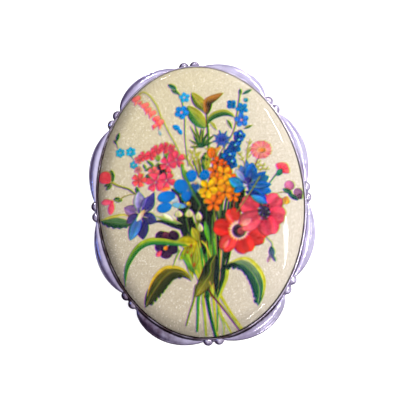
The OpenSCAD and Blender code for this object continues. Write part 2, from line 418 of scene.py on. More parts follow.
def paint_leaves():
    """The broad leaves, from the long one at the left to the pair at the top."""
    blade([(-3.2, -15.8), (-4.2, -14.6), (-5.6, -13.9), (-7.3, -14), (-9, -15.2), (-10.5, -16.9),
          (-11.6, -18.3), (-12.6, -19.9)], 2.9, (34, 44, 16), (112, 100, 20), widest=0.56, saw=0.5,
          rib=(150, 140, 40), tip=(52, 60, 22), edge=0.4)
    blade([(-3.8, -14.4), (-4.7, -13.4), (-6.3, -12.8), (-8.2, -12.8), (-10, -14), (-11.3, -15.8),
          (-12, -17.8)], 0.62, (214, 184, 36), (232, 196, 44), edge=0.05)
    blade([(2, -14.6), (3.8, -13.6), (5.8, -13.3), (7.5, -13.8), (8.8, -15.4), (9.6, -17.3), (9.8, -19.2),
          (9.3, -21.7)], 2.3, (140, 164, 116), (24, 70, 70), widest=0.62, saw=-0.5, rib=(150, 180, 120),
          tip=(30, 92, 60), edge=0.4)
    blade([(2.6, -14.4), (3.8, -13.6), (5.2, -13.4), (6.4, -13.6)], 0.9, (12, 36, 34), (10, 30, 30),
          edge=0.1)
    blade([(4.2, -13.1), (6.4, -12.4), (8.2, -12.6), (9.8, -14.2), (10.8, -16.4), (10.8, -18.4),
          (10.2, -20.2)], 0.6, (206, 206, 50), (226, 214, 56), edge=0.05)
    blade([(-13.8, -3.4), (-15.9, -3), (-18, -2.5), (-20, -1.9)], 2, (24, 70, 44), (96, 140, 84), saw=0.2,
          rib=(100, 140, 90), edge=0.3)
    blade([(-13.9, -2), (-15.6, -1.4), (-17.6, -1.5), (-20.2, -1.8)], 0.5, (222, 206, 84), (200, 196, 70),
          edge=0.05)
    blade([(-9.8, -3.5), (-8, -3.5), (-6, -4.4), (-4, -5.4), (-2, -7)], 0.8, (10, 26, 20), (16, 40, 30),
          edge=0.1)
    blade([(-9, -2.4), (-7.4, -3), (-5.6, -3.7), (-4, -4.4)], 0.8, (216, 206, 110), (90, 150, 70), edge=0.1)
    blade([(2.7, 17.2), (2.4, 18.6), (1.3, 19.9), (0.1, 21.9)], 2.1, (90, 104, 34), (190, 176, 56),
          rib=(206, 196, 80), edge=0.3)
    blade([(2.7, 17.2), (3, 18.8), (3.3, 19.8), (4.6, 20.5), (6.3, 21.3)], 1.7, (216, 146, 50),
          (34, 32, 22), widest=0.4, tip=(196, 124, 50), edge=0.3)
    blade([(2.6, 14.7), (1.6, 15.4), (0.6, 16.7), (-0.9, 19.2)], 2.6, (50, 120, 54), (190, 186, 50),
          rib=(180, 190, 80), edge=0.3)
    blade([(2.5, 14.8), (3, 15.9), (4.1, 16.8), (5.8, 17.2), (7.1, 16.9), (8.1, 16.1)], 1.35,
          (190, 188, 56), (14, 76, 40), rib=(40, 110, 56), edge=0.2)
    blade([(3.1, 15.6), (3.8, 14.8), (4.3, 13.8)], 0.6, (206, 196, 60), LIME)
    stem([(2.7, 17.6), (2.6, 14.6)], 0.3, (90, 90, 40))
    stem([(2.7, 15), (2.6, 12), (2.2, 9), (1.8, 5.6)], 0.42, (90, 120, 44), GREEN)
    blade([(1.3, 5.6), (1.5, 7.4), (1.8, 9.4)], 1.5, (40, 96, 50), (14, 44, 30))
    for x, y in ((-1.2, 10.2), (-0.4, 11.2), (0.2, 9.6), (2.3, 10.6), (3.2, 10.2), (-2.4, 9.4), (2.6, 8.6)):
        foot = 0.4 * x + 0.5
        stem([(foot, 5.4), (0.5 * (foot + x), 0.5 * (5.6 + y)), (x, y)], 0.26, (150, 160, 40),
             (216, 206, 50))
        for side in (-1, 1):
            for share in (0.35, 0.6, 0.85):
                bx, by = foot + share * (x - foot), 5.4 + share * (y - 5.4)
                stem([(bx, by), (bx + 0.6 * side, by + 0.7)], 0.24, (206, 200, 40), (220, 214, 70))
    for x in (-0.8, 0.4):
        stem([(0.5 * x + 0.5, 4.6), (x, 8)], 0.22, (30, 50, 24))
    for x, y, ink in (
            (-0.7, 15, (200, 196, 60)), (0.4, 13.9, (70, 130, 40)), (1.4, 14.5, (110, 120, 40)),
            (2.8, 13.7, (170, 180, 60)), (3.8, 12.8, (110, 160, 50)), (3.4, 11.4, (60, 120, 50)),
            (-1.1, 12.3, (190, 190, 50)), (-1, 10.8, (196, 190, 50)), (-0.2, 12.9, (60, 110, 40)),
            (2.2, 12.8, (30, 90, 40)), (0.2, 15.2, (180, 186, 60)), (1.9, 14.4, (190, 190, 60))):
        blade([(1.1, 10.8), (0.45 * (1.1 + x), 0.5 * (11 + y) - 0.2), (x, y)], 0.48, ink, (24, 84, 40))
    dot(1.1, 11, 0.75, (24, 84, 44), flat=0.7)
    for x, y in (
            (10.7, 11.3), (10.6, 9.7), (8.2, 8.9), (12.3, 6.6), (13.2, 5.8), (13.9, 4.9), (7, 6.4),
            (11.4, 6.2)):
        stem([(9.5, 4.6), (0.3 * x + 6.6, 0.5 * y + 2.6), (x, y)], 0.26, (170, 180, 60), (220, 210, 60))
        for side in (-1, 1):
            for share in (0.6, 0.85):
                bx, by = 9.5 + share * (x - 9.5), 4.6 + share * (y - 4.6)
                stem([(bx, by), (bx + 0.5 * side, by + 0.55)], 0.22, (210, 204, 60))
    for x0, y0, x1, y1, width, ink in (
            (-2.9, 23.1, -4.4, 24.2, 0.85, (50, 130, 90)), (-2.5, 21.9, -3.9, 23, 0.6, (110, 150, 70)),
            (9.6, 20.6, 9.8, 21.9, 0.6, (40, 130, 90)), (10.2, 20.8, 12, 21.7, 0.6, (60, 150, 120)),
            (7.4, 13.8, 6.6, 15.7, 0.62, LIME), (9.8, 13.6, 11.4, 14.1, 0.5, (180, 190, 60)),
            (-15.6, 13.7, -15, 15.3, 0.62, (20, 84, 50)), (-15.7, 13.2, -16.1, 14, 0.4, DEEP),
            (-17, 5.6, -17.2, 7.9, 1.1, (150, 160, 50)), (-17.4, 5.2, -18.7, 4.9, 0.6, OLIVE),
            (-17.3, 4.9, -18.4, 4.1, 0.7, (130, 140, 60)), (-15.5, 1.5, -17, 2, 1, (140, 160, 70)),
            (-12.4, 3.9, -12.1, 2.4, 0.8, (70, 110, 60)), (-9.9, 9, -8.5, 7.6, 0.6, (110, 160, 60)),
            (-10.4, 7, -8, 7.5, 0.8, (80, 150, 60)), (-10.6, 8.3, -10.2, 7.2, 0.5, (130, 170, 60)),
            (-8.4, 7, -7.6, 8.3, 0.6, (150, 170, 60)), (-3, 6.6, -2, 3.6, 1.2, (110, 170, 50))):
        blade([(x0, y0), (0.5 * (x0 + x1), 0.5 * (y0 + y1)), (x1, y1)], width, ink, (30, 80, 44), edge=0.3)


def paint_long_blade():
    """The long leaf that arches out to the left over the purple pansy, and the yellow bract at its foot."""
    for x, y, long, wide, way, base, tip in (
            (-1.2, -8.4, 4.4, 2.6, 172, (214, 190, 10), (196, 190, 14)),
            (-1, -8.2, 3.2, 1.8, 110, (150, 150, 30), (196, 186, 40)),
            (-1.3, -8.8, 4.8, 2.2, 214, (220, 196, 14), (170, 190, 14)),
            (-2.6, -8.6, 4.2, 1.6, 252, (170, 150, 20), (150, 200, 30)),
            (-3.6, -9.4, 6.2, 1.3, 276, (150, 196, 30), (190, 200, 40)),
            (-4.8, -10, 5.4, 0.9, 298, (130, 190, 40), (60, 130, 50)),
            (-1.6, -9, 5, 1.2, 262, (196, 190, 40), (120, 140, 40))):
        petal(x, y, long, wide, way, base, tip, widest=0.5, edge=0.35, veins=2, blunt=0.9)
    for x, y, r in ((-2.5, -8.9, 0.42), (-3.4, -10.1, 0.34), (-2.3, -12.7, 0.5), (-2.7, -10.8, 0.34)):
        dot(x, y, r, (160, 84, 20), edge=0.1, flat=0.6, turn=70)
    stem([(-5, -9.6), (-5.8, -11), (-6.6, -12.8)], 0.34, (130, 180, 50), (190, 200, 80))
    blade([(-3.2, -8.8), (-4.8, -8.3), (-6.8, -7.8), (-8.7, -7.4), (-10.7, -7.3), (-12.3, -7.8),
          (-13.6, -8.8), (-14.7, -10.2), (-15.5, -11.6), (-16, -13.2), (-16.3, -15.4)], 1.35, (20, 120, 50),
          (196, 206, 40), widest=0.4, tip=(30, 120, 50), edge=0.2)


def paint_sprays():
    """The light sprays at the picture's edges: hanging hearts, small blue flowers, buds and bells."""
    stem([(-10.5, 22.9), (-9.6, 23.2), (-8.5, 22.4), (-7.6, 21), (-7, 19.7), (-6.5, 17.9), (-5.8, 16),
         (-4.9, 13.7), (-3.7, 10.9), (-3, 8.6)], 0.34, (206, 198, 84), (160, 166, 60), shadow=0.25)
    for x, y, r, tail in (
            (-11, 21.9, 0.8, 255), (-10.3, 20.9, 0.42, 270), (-9.3, 20.2, 0.72, 262),
            (-8.8, 19.2, 0.62, 240), (-8, 18.4, 0.7, 235), (-7.3, 17.2, 0.66, 262), (-6.7, 16.3, 0.78, 262),
            (-7.7, 15.7, 0.5, 235)):
        ink = (252, 112, 104) if y > 17.8 else (246, 82, 86)
        petal(x + 0.1, y + 0.2, 2 * r, 0.9 * r, tail, ink, (250, 130, 120), widest=0.4, edge=0.05)
        dot(x - 0.35 * r, y + 0.1, 0.8 * r, ink, edge=0.1, light=0.12)
        dot(x + 0.5 * r, y + 0.25, 0.75 * r, (255, 124, 112), edge=0.1, light=0.12)
    petal(-7.1, 15, 1.3, 0.5, 290, (170, 196, 206), (120, 170, 200), edge=0.1)
    stem([(-3, 22.9), (-2.3, 21.7), (-1.9, 20), (-1.7, 17.1), (-1.8, 15.4), (-2, 12), (-1.8, 7)], 0.24,
         GREEN, (130, 120, 70))
    flower(-1.4, 21.1, 1.15, 5, (30, 156, 214), (36, 160, 216), (210, 226, 226), 0.26, 20, fill=1.3,
           edge=0.1)
    flower(-2.2, 18.1, 1.45, 5, (10, 126, 208), (4, 134, 214), BLUSH, 0.3, 55, fill=1.35, edge=0.12)
    petal(-4.2, 15.6, 1.7, 1.1, -36, (0, 132, 214), (0, 136, 218), widest=0.55, edge=0.12)
    petal(-3.2, 15, 1.6, 0.85, -66, (0, 128, 212), (0, 130, 214), widest=0.55, edge=0.12)
    for x, y, r in ((-15, 11.2, 1), (-12.9, 11.1, 1.05), (-12.5, 8.4, 0.85)):
        flower(x, y, r, 6, (16, 160, 200), (20, 166, 206), (150, 206, 196), 0.26, 30, fill=1.5, edge=0.1)
    stem([(-15.7, 13.4), (-15.4, 12.2)], 0.18, DEEP)
    stem([(-12.9, 10.4), (-12.5, 9.4)], 0.2, (60, 150, 170))
    stem([(9.7, 21.2), (9.2, 18.9), (8.5, 15.9), (7.9, 13.7), (6.5, 11.3), (5, 9.4), (3.2, 7)], 0.28,
         (130, 140, 70), (150, 120, 50))
    flower(7.8, 18.8, 1.05, 4, (0, 84, 160), (0, 116, 196), (30, 130, 160), 0.3, 40, fill=1.3, edge=0.15)
    flower(9.8, 17.8, 1.3, 5, (0, 104, 186), (0, 130, 204), (40, 170, 190), 0.3, 40, fill=1.2, edge=0.15)
    flower(9.5, 15.4, 1.5, 5, (50, 100, 190), (40, 120, 206), BLUSH, 0.28, 20, fill=1.3, edge=0.2)
    dot(10.7, 19.5, 0.46, (50, 160, 180))
    stem([(-17.2, 5.4), (-16.3, 4.7), (-15, 4.1), (-13.8, 3.5), (-12.2, 2)], 0.42, (206, 190, 70),
         (40, 50, 34))
    petal(-17.5, 5.4, 2.9, 2.6, 128, (240, 66, 80), (252, 84, 84), widest=0.55, edge=0.12)
    stem([(-15.8, 1.8), (-14.8, 2.3), (-13.2, 2.5), (-12.4, 2.2)], 0.26, (206, 196, 90))
    petal(-16.9, 1.5, 2.7, 1.25, 176, (250, 76, 104), (255, 96, 116), widest=0.62, edge=0.08)
    petal(-17.3, 1.9, 3, 1.3, 258, (244, 66, 96), (255, 90, 112), widest=0.6, edge=0.08)
    stem([(12.2, 7.8), (11.3, 5.6), (10.2, 3.6)], 0.22, (150, 90, 70), OLIVE)
    for k in range(19):
        way = 360 / 19 * k + 8
        petal(12.8, 9, 1.85 + 0.32 * abs(math.cos(math.radians(way))), 0.72, way, (250, 170, 150),
              (240, 104, 112) if k % 2 else (248, 140, 142), widest=0.7, edge=0.15)
    dot(12.8, 8.9, 0.85, (244, 176, 110), flat=0.68)
    dot(12.9, 8.85, 0.6, (238, 140, 56), flat=0.66)
    stem([(15.9, 4.4), (14.9, 3.4), (13.5, 1.8)], 0.28, (50, 130, 90))
    for k in range(9):
        petal(15.9, 4, 2.6 - 0.12 * abs(k - 4), 0.9, 92 - 10.5 * k, (206, 40, 66),
              (244, 70, 94) if k % 2 else (250, 100, 110), widest=0.76, notch=0.1, edge=0.15)
    petal(15.4, 3.5, 1.7, 1.1, 50, (20, 110, 80), (40, 130, 90), widest=0.5)
    stem([(17.2, -0.1), (16, 0.1), (14.2, -0.3)], 0.22, (190, 190, 80))
    dot(17.7, 1.4, 0.98, (196, 104, 144), edge=0.2)
    dot(19.3, -0.1, 0.9, (140, 92, 124), edge=0.3)
    dot(19.5, -0.9, 0.55, (90, 60, 80))
    petal(18, -0.2, 2, 0.9, 150, (24, 70, 60), (60, 130, 80), widest=0.5)
    petal(17.2, -0.2, 2.4, 0.9, 324, (40, 100, 84), (24, 64, 60), widest=0.5)
    petal(16.9, -0.7, 1.8, 1.6, 252, (240, 140, 76), (236, 196, 56), widest=0.6, veins=2)
    stem([(11.8, -8), (12.5, -9), (13.1, -9.9), (13, -11)], 0.22, (190, 180, 80), (60, 110, 80))
    petal(13, -10.4, 2.3, 1.2, 268, (50, 84, 96), (84, 100, 140), widest=0.5)
    petal(12.8, -11.8, 1.9, 0.6, 246, (96, 100, 130), (200, 130, 140), edge=0.2)
    petal(12.9, -11.8, 1.8, 0.6, 290, (60, 76, 110), (90, 100, 130), edge=0.2)


def paint_phlox():
    """The red cluster at the left of the bouquet."""
    blade([(-7.4, 8), (-7.2, 6.9), (-6.8, 5.7), (-6, 5)], 1.5, (24, 26, 32), (20, 20, 28), edge=0.1)
    blade([(-5.7, 7.4), (-5.5, 6.2), (-5.7, 5)], 0.7, (50, 30, 40), (30, 40, 36), edge=0.1)
    stem([(-6.1, 9.6), (-6.1, 8)], 0.55, (24, 34, 30))
    for x, y, ink in ((-6, 10, (120, 170, 60)), (-7.7, 9.2, (130, 160, 50)), (-9.9, 5.6, (30, 80, 50))):
        dot(x, y, 0.5, ink, edge=0.2, flat=1.3)
    petals = dict(widest=0.68, edge=0.26, notch=0.14, blunt=0.55)
    for x, y, r, ink in (
            (-11.5, 9.3, 0.95, (252, 120, 110)), (-10.4, 9.9, 1.15, (252, 76, 90)),
            (-8.9, 10, 1.2, (248, 70, 90)), (-7.8, 10.9, 1.2, (246, 78, 92)),
            (-6.1, 11.2, 1.3, (240, 66, 88)), (-4.8, 11, 0.95, (240, 84, 100)),
            (-4.5, 9.7, 1.1, (236, 66, 96)), (-11.7, 7.3, 0.85, (244, 150, 140)),
            (-8.7, 6.5, 1.3, (252, 112, 108)), (-11.7, 5.2, 1.6, (252, 92, 84))):
        flower(x, y, r, 5, (0.86 * ink[0], 0.7 * ink[1], 0.8 * ink[2]), ink, None, 0, 25 * x, fill=1.25,
               **petals)
    for x, y, r, turn in (
            (-4, 8.5, 1.9, 20), (-5.8, 7.8, 1.75, 55), (-8.5, 4.4, 2.05, 18), (-6.3, 4.6, 1.9, 50)):
        flower(x, y, r, 5, (206, 60, 100), (250, 72, 92), (230, 190, 200), 0.2, turn, fill=1.22, **petals)
    petal(-5.6, 3, 2, 0.95, 190, (244, 140, 60), (248, 110, 60), edge=0.1)


def paint_clematis():
    """The violet flower at the left, with its pale stamens."""
    for length, width, way, base, tip in (
            (3.5, 2.4, 150, (130, 96, 150), (160, 120, 176)), (3.2, 2, 206, (60, 46, 120), (84, 70, 140)),
            (4.7, 2.5, 90, (128, 124, 176), (176, 172, 206)), (4.7, 2.6, 50, (84, 78, 150), (104, 96, 176)),
            (3.6, 2.4, 330, (44, 40, 104), (60, 60, 130)), (5, 2.7, 272, (30, 26, 84), (50, 44, 106)),
            (5.5, 2.3, 243, (70, 96, 172), (70, 150, 216))):
        petal(-12, -1.7, length, width, way, base, tip, widest=0.52, veins=2, edge=0.5, blunt=0.8)
    petal(-11, -1.2, 4.3, 1.4, 60, (56, 50, 126), (60, 56, 136), widest=0.5, edge=0.3, blunt=0.8)
    for k in range(12):
        stem([(-12, -1.9), (-12 + 1.3 * math.cos(0.52 * k) + 0.3, -1.9 + 1.5 * math.sin(0.52 * k) + 0.2)],
             0.2, (CREAM if k % 2 else (30, 26, 60)))
    petal(-12.8, -3, 2.8, 1, 52, (236, 230, 210), (226, 190, 110), widest=0.5, edge=0.2)


def paint_blue_pansies():
    """The azure flowers in the middle left."""
    petal(-1.8, 3.4, 2.6, 1.5, 285, (20, 110, 150), (40, 130, 130), widest=0.5, edge=0.1)
    for x, y, r, flat, turn, ink in (
            (-1.3, 2.1, 0.95, 0.8, 60, (10, 90, 140)), (-0.8, 2.8, 0.9, 0.9, 0, (20, 80, 150)),
            (-1.4, 5.0, 1.25, 0.9, 60, (0, 110, 194)), (1.2, 4.9, 1.1, 0.88, 50, (0, 108, 186)),
            (-3.2, 1.9, 0.8, 0.8, 0, (10, 50, 100)), (-3.6, 3.1, 1.5, 0.9, 120, (0, 110, 190)),
            (-2.8, 1.0, 1.1, 0.86, 60, (0, 106, 190)), (-6.6, 1.3, 1.8, 0.64, 6, (0, 114, 200)),
            (-7.2, -0.8, 1.5, 0.66, 12, (0, 112, 196)), (-4.3, -0.7, 1.4, 0.4, -14, (96, 170, 206))):
        dot(x, y, r, ink, edge=0.2, light=0.08, flat=flat, turn=turn)
    petal(-5.9, 0.2, 1.6, 0.9, 10, (200, 208, 206), (170, 190, 200), edge=0.1)
    dot(-0.6, 3.5, 0.5, (214, 196, 186), flat=0.6)
    dot(-0.7, 3.4, 0.2, (220, 130, 60))
    dot(-2.4, -0.5, 0.42, (238, 178, 40), edge=0.1)
    stem([(-3, 7.4), (-2.9, 5.6), (-2.2, 3.8), (-1.2, 1.4), (-0.1, -1)], 0.6, (120, 170, 60), (60, 120, 60))
    stem([(-5.3, 2.6), (-4.4, 1.6), (-3.8, 0.6)], 0.5, (26, 30, 30))


def paint_delphinium():
    """The dark blue spike at the upper right."""
    for x, y, r, turn, ink in (
            (8.8, 12.2, 1.3, 0, (30, 110, 206)), (8.4, 11, 0.8, 30, (20, 80, 170)),
            (7.6, 10, 1.4, 36, (0, 112, 196)), (6.4, 9, 1.1, 10, (10, 80, 150)),
            (5.3, 8.2, 1, 50, (20, 80, 120)), (6.4, 8.2, 1.5, 20, (0, 120, 200)),
            (6.7, 6.8, 1.3, 40, (0, 100, 190))):
        for k in range(5):
            shade = (0.6 * ink[0], 0.66 * ink[1], 0.8 * ink[2]) if k % 2 else ink
            petal(x, y, r, 0.86 * r, turn + 72 * k, (10, 50, 120), shade, widest=0.6, edge=0.4, blunt=0.6)
        dot(x + 0.3, y + 0.4, 0.26, (110, 190, 226), edge=0)
    star(5.3, 11.8, 2.05, 8, (40, 96, 176), 10)
    star(5.3, 11.8, 1.4, 8, (60, 80, 176), 32)
    dot(5.3, 11.8, 0.5, (30, 50, 130), edge=0)
    blade([(4.6, 10.6), (4, 9.4), (3.4, 7.8), (2.9, 6)], 0.6, (190, 110, 60), (150, 90, 40))
    blade([(4.9, 10.2), (3.9, 9.6), (3.4, 8.6)], 0.9, (240, 170, 70), (220, 120, 50))
    petal(2.9, 8.1, 2.3, 1.7, 84, (240, 110, 20), (250, 128, 24), widest=0.55, veins=2)


def paint_wallflower():
    """The cluster of yellow and orange flowers in the middle."""
    blade([(8.6, 2), (7.4, -0.4), (6.2, -3), (4.6, -5.4)], 2.8, (20, 34, 22), (28, 26, 26), edge=0.1)
    for x, ink in (
            (7.6, (40, 90, 40)), (7, (200, 84, 50)), (6.3, (90, 140, 50)), (5.4, (30, 80, 40)),
            (4.4, (70, 120, 40))):
        stem([(x, 0.8), (x - 0.6, -1.8), (x - 1, -4.6)], 0.3, ink)
    petal(3.2, -2, 8.4, 3.8, 86, (60, 40, 14), (120, 60, 20), widest=0.5, edge=0.1)
    red, orange, amber = (236, 96, 30), (244, 124, 20), (246, 150, 20)
    gold, yellow = (244, 178, 16), (240, 200, 8)
    for x, y, r, turn, ink in (
            (4, 7.1, 1.4, 20, red), (5.2, 6.4, 1.1, 60, red), (3.4, 5.5, 1.5, 10, orange),
            (6, 4.2, 1.5, 0, red), (5, 4.8, 1.8, 40, gold), (6.5, 2, 1.8, 30, amber),
            (6.5, 0.3, 1.5, 10, orange), (4.9, 3, 1.7, 60, gold), (3.5, 3.9, 1.4, 0, orange),
            (4.9, 1.1, 1.7, 20, amber), (3.3, 0.4, 1.6, 45, orange), (1.6, 0.6, 1.6, 20, gold),
            (2.5, -0.9, 1.8, 8, orange), (3.4, 2.6, 1.9, 30, gold), (1.7, 2.2, 2.05, 54, yellow)):
        deep = (0.93 * ink[0], 0.76 * ink[1], 0.4 * ink[2])
        flower(x, y, r, 5, deep, ink, (70, 44, 14), 0.24, turn, fill=1.06, edge=0.45, blunt=0.5)


def paint_cornflower():
    """The large blue flower at the right, with pointed petals."""
    for x, y, length, width, way, base, tip in (
            (9.4, 2.4, 4, 1.7, 104, (60, 80, 170), (80, 130, 200)),
            (9.6, 2.6, 4.6, 1.3, 88, (140, 160, 210), (60, 120, 200)),
            (9.3, 2.4, 3.7, 1.5, 122, (70, 110, 190), (200, 206, 220)),
            (9.4, 2.4, 4.4, 2.4, 70, (20, 76, 160), (20, 112, 200)),
            (9.3, 2.6, 3.6, 1.6, 50, (16, 60, 140), (20, 104, 196)),
            (9.4, 2.2, 4.6, 2.3, 16, (30, 70, 130), (30, 120, 170)),
            (9.4, 2.2, 4.6, 1.5, 30, (20, 60, 130), (16, 100, 190)),
            (9.2, 2, 5.1, 2.4, 342, (20, 84, 170), (20, 112, 206)),
            (9.2, 2, 5, 1.6, 358, (16, 70, 150), (16, 110, 200)),
            (9.4, 1.6, 4.4, 1.9, 322, (20, 96, 190), (10, 80, 170)),
            (8.8, 0.9, 3.2, 1.3, 340, (10, 50, 130), (10, 40, 120)),
            (9, 1.4, 3.9, 2.2, 142, (30, 140, 196), (40, 156, 206)),
            (8.8, 1.8, 2.4, 1.3, 200, (20, 110, 190), (0, 120, 200)),
            (9.6, 1.9, 3.4, 0.6, 350, (120, 180, 220), (40, 120, 200)),
            (9.6, 2.4, 3, 0.5, 24, (110, 160, 210), (40, 110, 180)),
            (9.6, 2.8, 2.6, 0.5, 66, (120, 150, 210), (40, 90, 180))):
        petal(x, y, length, width, way, base, tip, widest=0.56, veins=2, edge=0.4, blunt=0.8)
    petal(9.9, 0, 3.7, 1.5, -31, (50, 150, 210), (40, 110, 190), widest=0.5, blunt=0.8)
    dot(9.6, 2.9, 0.8, (40, 30, 90), edge=0)
    for k in range(9):
        stem([(9.5, 2.3), (9.5 + 1.2 * math.cos(0.7 * k), 2.5 + 1.2 * math.sin(0.7 * k))], 0.2,
             ((150, 160, 210), (30, 30, 100), (60, 80, 170))[k % 3])
    dot(9.1, 2.1, 0.5, (196, 200, 220), flat=0.6)
    stem([(12, 3.6), (10.8, 1.9), (9.6, 0.3), (8.1, -1.6), (6.9, -3)], 0.32, (130, 150, 80), (170, 160, 60))


def paint_bells():
    """Cream bells and the purple pansy under the blue flowers."""
    for x, y, wide, long in (
            (-4.5, -1.6, 1.8, 1.5), (-2.4, -1.6, 1.9, 1.7), (-0.6, -2.3, 1.5, 1.8), (-0.5, -4.6, 1.3, 1.8)):
        stem([(x + 0.5, y + 1), (x, y + 0.2)], 0.2, (180, 190, 90))
        petal(x, y + 0.1, long, wide, 270, (236, 228, 186), (214, 206, 140), widest=0.66, veins=2, edge=0.3,
              blunt=0.5)
    petal(-7.6, -1.9, 2.6, 1, -42, (222, 222, 190), (230, 226, 196), widest=0.5, edge=0.2)
    for x, y, length, width, way, ink in (
            (-7, -7.4, 2.7, 2.3, 146, (44, 14, 60)), (-6.6, -7.6, 2.3, 2.2, 52, (60, 20, 56)),
            (-7.2, -7.6, 2, 1.5, 96, (130, 40, 76)), (-7.4, -8.4, 2.3, 2, 186, (56, 24, 84)),
            (-7.2, -8.6, 2.2, 2, 330, (44, 18, 64)), (-7.4, -8.6, 2.4, 2.4, 262, (76, 26, 76))):
        petal(x, y, length, width, way, (30, 12, 44), ink, widest=0.62, veins=3, edge=0.3, blunt=0.5)
    petal(-8.4, -9.2, 1.6, 1, 226, (214, 64, 100), (240, 90, 100), edge=0.1)
    dot(-7.6, -8.9, 0.45, (244, 140, 30), edge=0.1)


def paint_anemones():
    """The two large open flowers at the right; the pink one overlaps the red one."""
    soft = dict(widest=0.62, edge=0.3, blunt=0.5, veins=2)
    for length, width, way, base, tip in (
            (5.7, 3.8, 334, (196, 30, 40), (234, 60, 56)), (5.1, 4.3, 287, (206, 26, 34), (238, 56, 46)),
            (5.3, 3.4, 226, (236, 60, 60), (232, 66, 60)), (5.1, 3.6, 166, (204, 22, 26), (232, 50, 34)),
            (4.7, 3.1, 105, (224, 60, 50), (230, 52, 38))):
        petal(6.9, -6.6, length, width, way, base, tip, notch=0.05, **soft)
    petal(4.9, -8.4, 2, 0.8, 232, (244, 130, 126), (240, 100, 96), edge=0)
    petal(5.8, -4.9, 2.2, 0.7, 118, (244, 110, 96), (236, 70, 60), edge=0)
    for k in range(20):
        petal(7, -6.7, 2.1, 0.46, 18 * k, (250, 236, 214), (246, 216, 190), widest=0.6, edge=0.05)
    dot(7, -6.8, 1.35, (40, 24, 36), edge=0.1)
    dot(7.4, -6.9, 0.75, (150, 56, 66), edge=0.1)
    for k in range(16):
        dot(7 + 1.2 * math.cos(0.39 * k), -6.8 + 1.15 * math.sin(0.39 * k), 0.14, (120, 90, 100), edge=0)
    for length, width, way, base, tip in (
            (3.8, 3.2, 96, (214, 40, 70), (236, 70, 90)), (4.6, 3.7, 40, (224, 56, 84), (242, 84, 108)),
            (4.4, 3.9, 342, (218, 46, 78), (246, 90, 112)), (5, 4.3, 282, (208, 40, 66), (240, 78, 100)),
            (5.2, 4, 150, (214, 44, 70), (238, 80, 96)), (5.7, 4, 208, (214, 60, 80), (232, 96, 106))):
        petal(12.2, -3.5, length, width, way, base, tip, notch=0.06, **soft)
    petal(9.6, -4.6, 2.3, 1.3, 212, (228, 124, 120), (234, 150, 136), widest=0.5, edge=0)
    dot(12.2, -3.45, 1.2, (44, 36, 60), edge=0.1)
    for k in range(30):
        away = 0.75 + 0.26 * (k % 4)
        dot(12.2 + away * math.cos(2.4 * k), -3.45 + away * math.sin(2.4 * k), 0.15 + 0.05 * (k % 2),
            ((30, 26, 46), (128, 136, 166), (24, 20, 40))[k % 3], edge=0)


paint_stems()
paint_leaves()
paint_sprays()
paint_phlox()
paint_blue_pansies()
paint_clematis()
paint_bells()
paint_long_blade()
paint_delphinium()
paint_wallflower()
paint_anemones()
paint_cornflower()

# How much painted light pales the paper at the right, and how dark painted shade makes the lower left of its
# rim
LIT_RIGHT_SHARE = 0.7
RIM_SHADE = 0.16
# Share of the light that the inks give back, how low the picture sits, and how far two inks are out of place
INK_LEVEL = 0.615
PICTURE_LOW = 0.35
YELLOW_SHIFT = (0.12, 0.07)
MAGENTA_SHIFT = (-0.09, 0.0)


def linear(values):
    """Linear light from display values of 0 to 255."""
    v = np.clip(values / 255, 0, 1)
    return np.where(v < 0.04045, v / 12.92, ((v + 0.055) / 1.055) ** 2.4)


def soften(grid):
    """Averages each sample with its neighbours."""
    for axis in (0, 1):
        grid = 0.5 * grid + 0.25 * (np.roll(grid, 1, axis) + np.roll(grid, -1, axis))
    return grid


def read(grid, x, y):
    """Values of a grid at places in millimetres, blended between samples."""
    gx = np.clip((x - sheet.x0) / CELL, 0, sheet.columns - 1.001)
    gy = np.clip((y - sheet.y0) / CELL, 0, sheet.rows - 1.001)
    i, j = gx.astype(int), gy.astype(int)
    fx, fy = gx - i, gy - j
    return ((grid[j, i] * (1 - fx) + grid[j, i + 1] * fx) * (1 - fy)
            + (grid[j + 1, i] * (1 - fx) + grid[j + 1, i + 1] * fx) * fy)


def paper_colour(x, y):
    """Cream that is yellower at the top, with painted shade that deepens the rim at the lower left and
    painted light that pales it at the right.
    """
    up = smooth_step((y / COAT_Y + 1) / 2)[:, None]
    right = smooth_step((x / COAT_X + 0.2) / 1.2)[:, None]
    tone = PAPER_LOW * (1 - up) + PAPER_TOP * up
    # Painted light: the paper grows paler towards the right
    tone = tone * (1 - LIT_RIGHT_SHARE * right) + PAPER_LIT_RIGHT * LIT_RIGHT_SHARE * right
    # Painted shade: the paper darkens near the rim at the lower left
    near_rim = smooth_step((np.hypot(x / COAT_X, y / COAT_Y) - 0.86) / 0.1)
    low_left = smooth_step(0.4 - x / COAT_X - 0.6 * y / COAT_Y)
    return tone * (1 - RIM_SHADE * (near_rim * low_left)[:, None])


def print_colours(x, y):
    """The printed picture's colour at each place, and the share of bare paper there."""
    y = y + PICTURE_LOW
    cover = soften(sheet.cover)
    ink = soften(sheet.ink * sheet.cover[..., None])
    paper = paper_colour(x, y)
    out = np.zeros((len(x), 4))
    shifts = ((0, 0), MAGENTA_SHIFT, YELLOW_SHIFT)
    for channel, (dx, dy) in enumerate(shifts):
        share = read(cover, x - dx, y - dy)
        out[:, channel] = read(ink[..., channel], x - dx, y - dy) + (1 - share) * paper[:, channel]
    out[:, :3] = linear(out[:, :3]) * INK_LEVEL
    out[:, 3] = 1 - read(cover, x, y)
    return out


# ---------------------------------------------------------------- materials
FLAKES = 4900


def set_stops(node, stops):
    """Fills a colour ramp with colours, or with greys where a stop holds one number."""
    elements = node.color_ramp.elements
    while len(elements) < len(stops):
        elements.new(0.5)
    for element, (place, colour) in zip(elements, stops):
        element.position = place
        element.color = (*colour, 1) if isinstance(colour, tuple) else (colour, colour, colour, 1)


